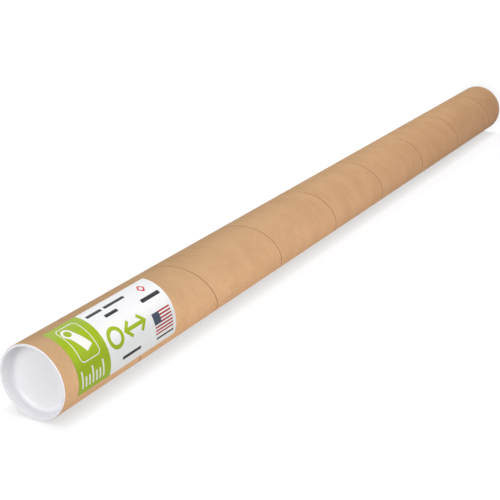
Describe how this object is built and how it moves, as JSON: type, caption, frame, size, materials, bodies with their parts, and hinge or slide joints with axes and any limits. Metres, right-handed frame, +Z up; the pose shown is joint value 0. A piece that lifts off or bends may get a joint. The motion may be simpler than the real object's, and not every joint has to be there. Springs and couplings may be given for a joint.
{
  "type": "cardboard mailing tube",
  "caption": "Long spiral-wound cardboard mailing tube with a recessed plastic plug in each end and a paper label near its top.",
  "frame": {"origin": "on the floor on the tube's axis, where the tube stands on its bottom plug", "axes": "Z up along the tube, the middle of the label faces -Y"},
  "size_m": [0.0802, 0.0805, 1.222],
  "materials": {
    "kraft_board": "matte",
    "plug_plastic": "satin",
    "label_paper": "satin"
  },
  "bodies": {
    "tube_body": {"tube": "kraft_board", "label": "label_paper"},
    "top_plug": {"top_cap": "plug_plastic"},
    "bottom_plug": {"bottom_cap": "plug_plastic"}
  },
  "joints": [
    {"name": "top_plug_pull", "type": "slide", "parent": "tube_body", "child": "top_plug", "axis": [0, 0, 1], "range_m": [0, 0.08]},
    {"name": "bottom_plug_pull", "type": "slide", "parent": "tube_body", "child": "bottom_plug", "axis": [0, 0, -1], "range_m": [0, 0.08]}
  ]
}
